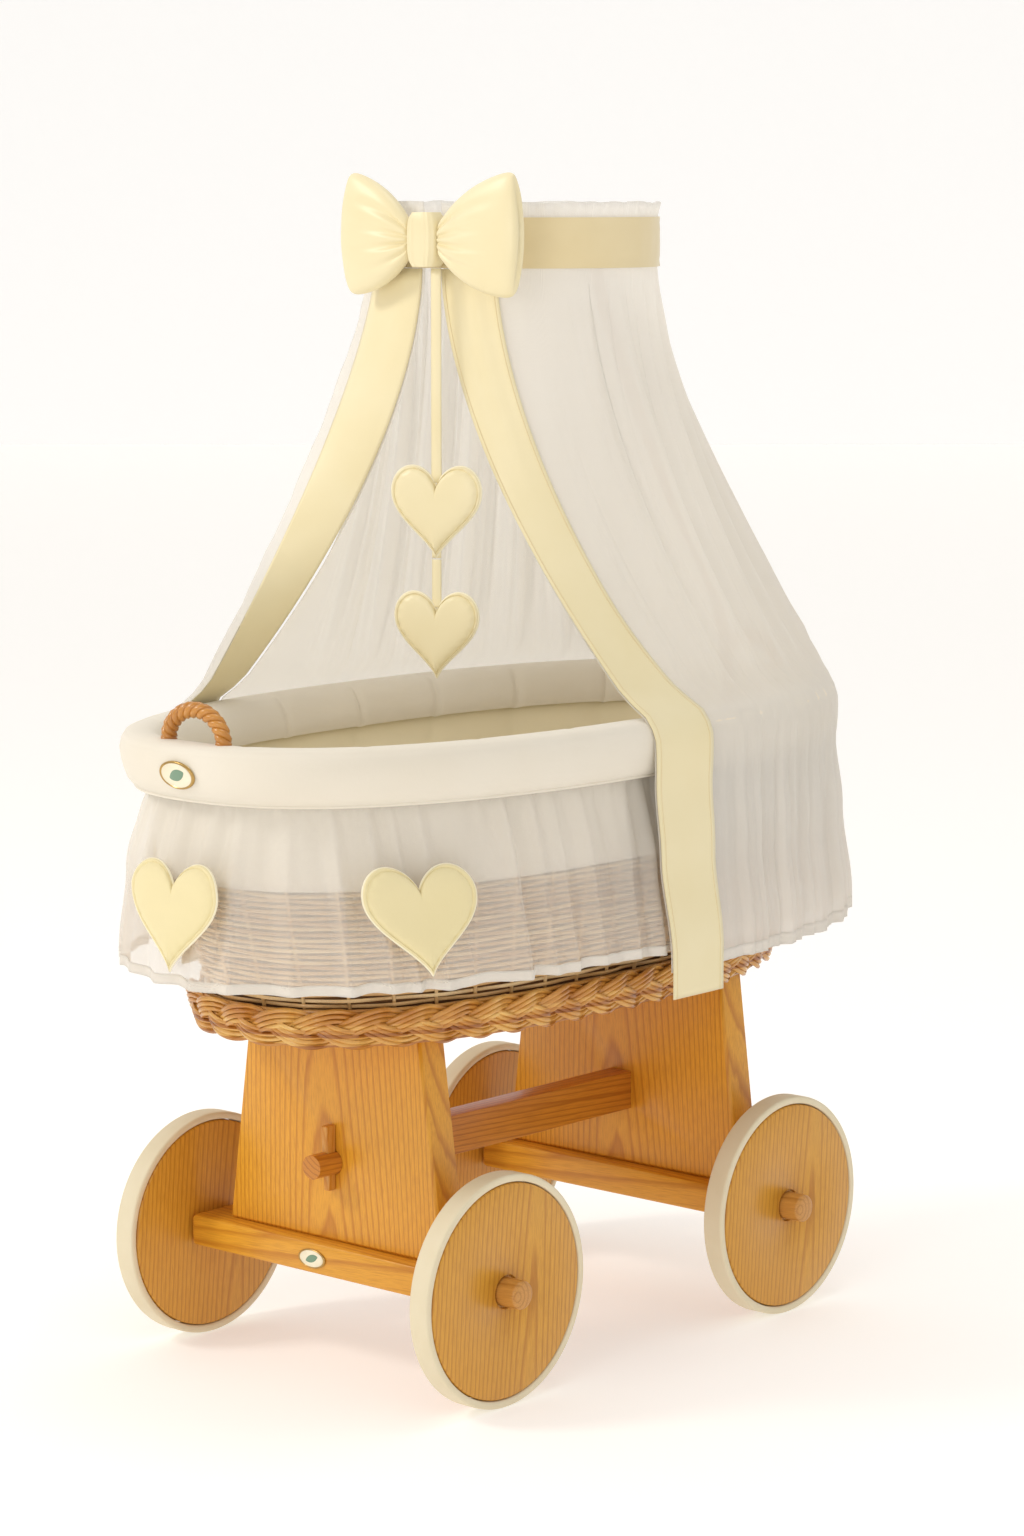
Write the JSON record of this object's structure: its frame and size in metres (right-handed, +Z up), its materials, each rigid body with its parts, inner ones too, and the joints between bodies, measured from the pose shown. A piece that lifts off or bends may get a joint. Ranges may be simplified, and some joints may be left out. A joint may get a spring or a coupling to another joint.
{
  "type": "bassinet on stand",
  "caption": "Oval wicker bassinet basket with a padded rim, gathered skirt and hooped drape canopy, on a knock-down wooden stand with large disc wheels.",
  "frame": {"origin": "centre of the whole object's footprint, on the floor", "axes": "+Z up; +Y along the basket towards the head end, under the canopy; +X across the basket, to the right of someone at the foot end who faces the head end"},
  "size_m": [0.5622, 1.0172, 1.2871],
  "materials": {
    "pine": "honey pine under satin varnish",
    "dark_pine": "darker stained pine",
    "wicker": "varnished woven willow",
    "tyre": "matt cream rubber",
    "cream": "cream cotton over padding",
    "sheer": "gathered sheer voile",
    "satin": "butter-yellow satin",
    "cotton": "quilted cotton",
    "plastic": "moulded oval badge",
    "enamel": "glossy oval badge"
  },
  "bodies": {
    "stand": {"foot_board": "pine", "head_board": "pine", "foot_axle_beam": "pine", "head_axle_beam": "pine", "stretcher": "dark_pine", "beam_badge": "plastic", "foot_left_axle_pin": "pine", "foot_left_low_dowel": "pine", "foot_left_top_dowel": "pine", "foot_right_axle_pin": "pine", "foot_right_low_dowel": "pine", "foot_right_top_dowel": "pine", "head_left_axle_pin": "pine", "head_left_low_dowel": "pine", "head_left_top_dowel": "pine", "head_right_axle_pin": "pine", "head_right_low_dowel": "pine", "head_right_top_dowel": "pine"},
    "foot_left_wheel": {"foot_left_wheel_disc": "pine", "foot_left_tyre": "tyre"},
    "foot_right_wheel": {"foot_right_wheel_disc": "pine", "foot_right_tyre": "tyre"},
    "head_left_wheel": {"head_left_wheel_disc": "pine", "head_left_tyre": "tyre"},
    "head_right_wheel": {"head_right_wheel_disc": "pine", "head_right_tyre": "tyre"},
    "foot_wedge": {"foot_wedge": "pine"},
    "head_wedge": {"head_wedge": "pine"},
    "basket": {"base_board": "pine", "crown_hoop": "dark_pine", "canopy_pole": "dark_pine", "crown_saddle": "dark_pine", "pole_clip": "dark_pine", "wicker_wall": "wicker", "base_border": "wicker", "rim_border": "wicker", "foot_handle": "wicker", "head_handle": "wicker", "mattress": "cream", "bumper_roll": "cream", "foot_skirt_heart": "cream", "left_skirt_heart": "cream", "right_skirt_heart": "cream", "liner": "cotton", "skirt": "sheer", "canopy_drape": "sheer", "left_ribbon": "satin", "right_ribbon": "satin", "crown_band": "satin", "bow_knot": "satin", "left_bow_loop": "satin", "right_bow_loop": "satin", "bumper_badge": "enamel"},
    "pendant": {"hanging_ribbon": "satin", "upper_heart": "satin"},
    "lower_pendant": {"link_ribbon": "satin", "lower_heart": "satin"}
  },
  "joints": [
    {"name": "foot_left_wheel_spin", "type": "hinge", "parent": "stand", "child": "foot_left_wheel", "pos_m": [-0.2195, -0.24441, 0.125], "axis": [1, 0, 0], "continuous": true},
    {"name": "foot_right_wheel_spin", "type": "hinge", "parent": "stand", "child": "foot_right_wheel", "pos_m": [0.2195, -0.24441, 0.125], "axis": [1, 0, 0], "continuous": true},
    {"name": "head_left_wheel_spin", "type": "hinge", "parent": "stand", "child": "head_left_wheel", "pos_m": [-0.2195, 0.24159, 0.125], "axis": [1, 0, 0], "continuous": true},
    {"name": "head_right_wheel_spin", "type": "hinge", "parent": "stand", "child": "head_right_wheel", "pos_m": [0.2195, 0.24159, 0.125], "axis": [1, 0, 0], "continuous": true},
    {"name": "basket_lift", "type": "slide", "parent": "stand", "child": "basket", "axis": [0, 0, 1], "range_m": [0, 0.25]},
    {"name": "foot_wedge_pull", "type": "slide", "parent": "stand", "child": "foot_wedge", "axis": [0, 0, 1], "range_m": [0, 0.05]},
    {"name": "head_wedge_pull", "type": "slide", "parent": "stand", "child": "head_wedge", "axis": [0, 0, 1], "range_m": [0, 0.05]},
    {"name": "pendant_swing", "type": "hinge", "parent": "basket", "child": "pendant", "pos_m": [0.02, -0.11811, 1.1877], "axis": [0.9397, 0.342, 0], "range_deg": [-20, 10]},
    {"name": "lower_pendant_swing", "type": "hinge", "parent": "pendant", "child": "lower_pendant", "pos_m": [0.02, -0.11811, 0.8754], "axis": [0.9397, 0.342, 0], "range_deg": [-25, 25]}
  ]
}
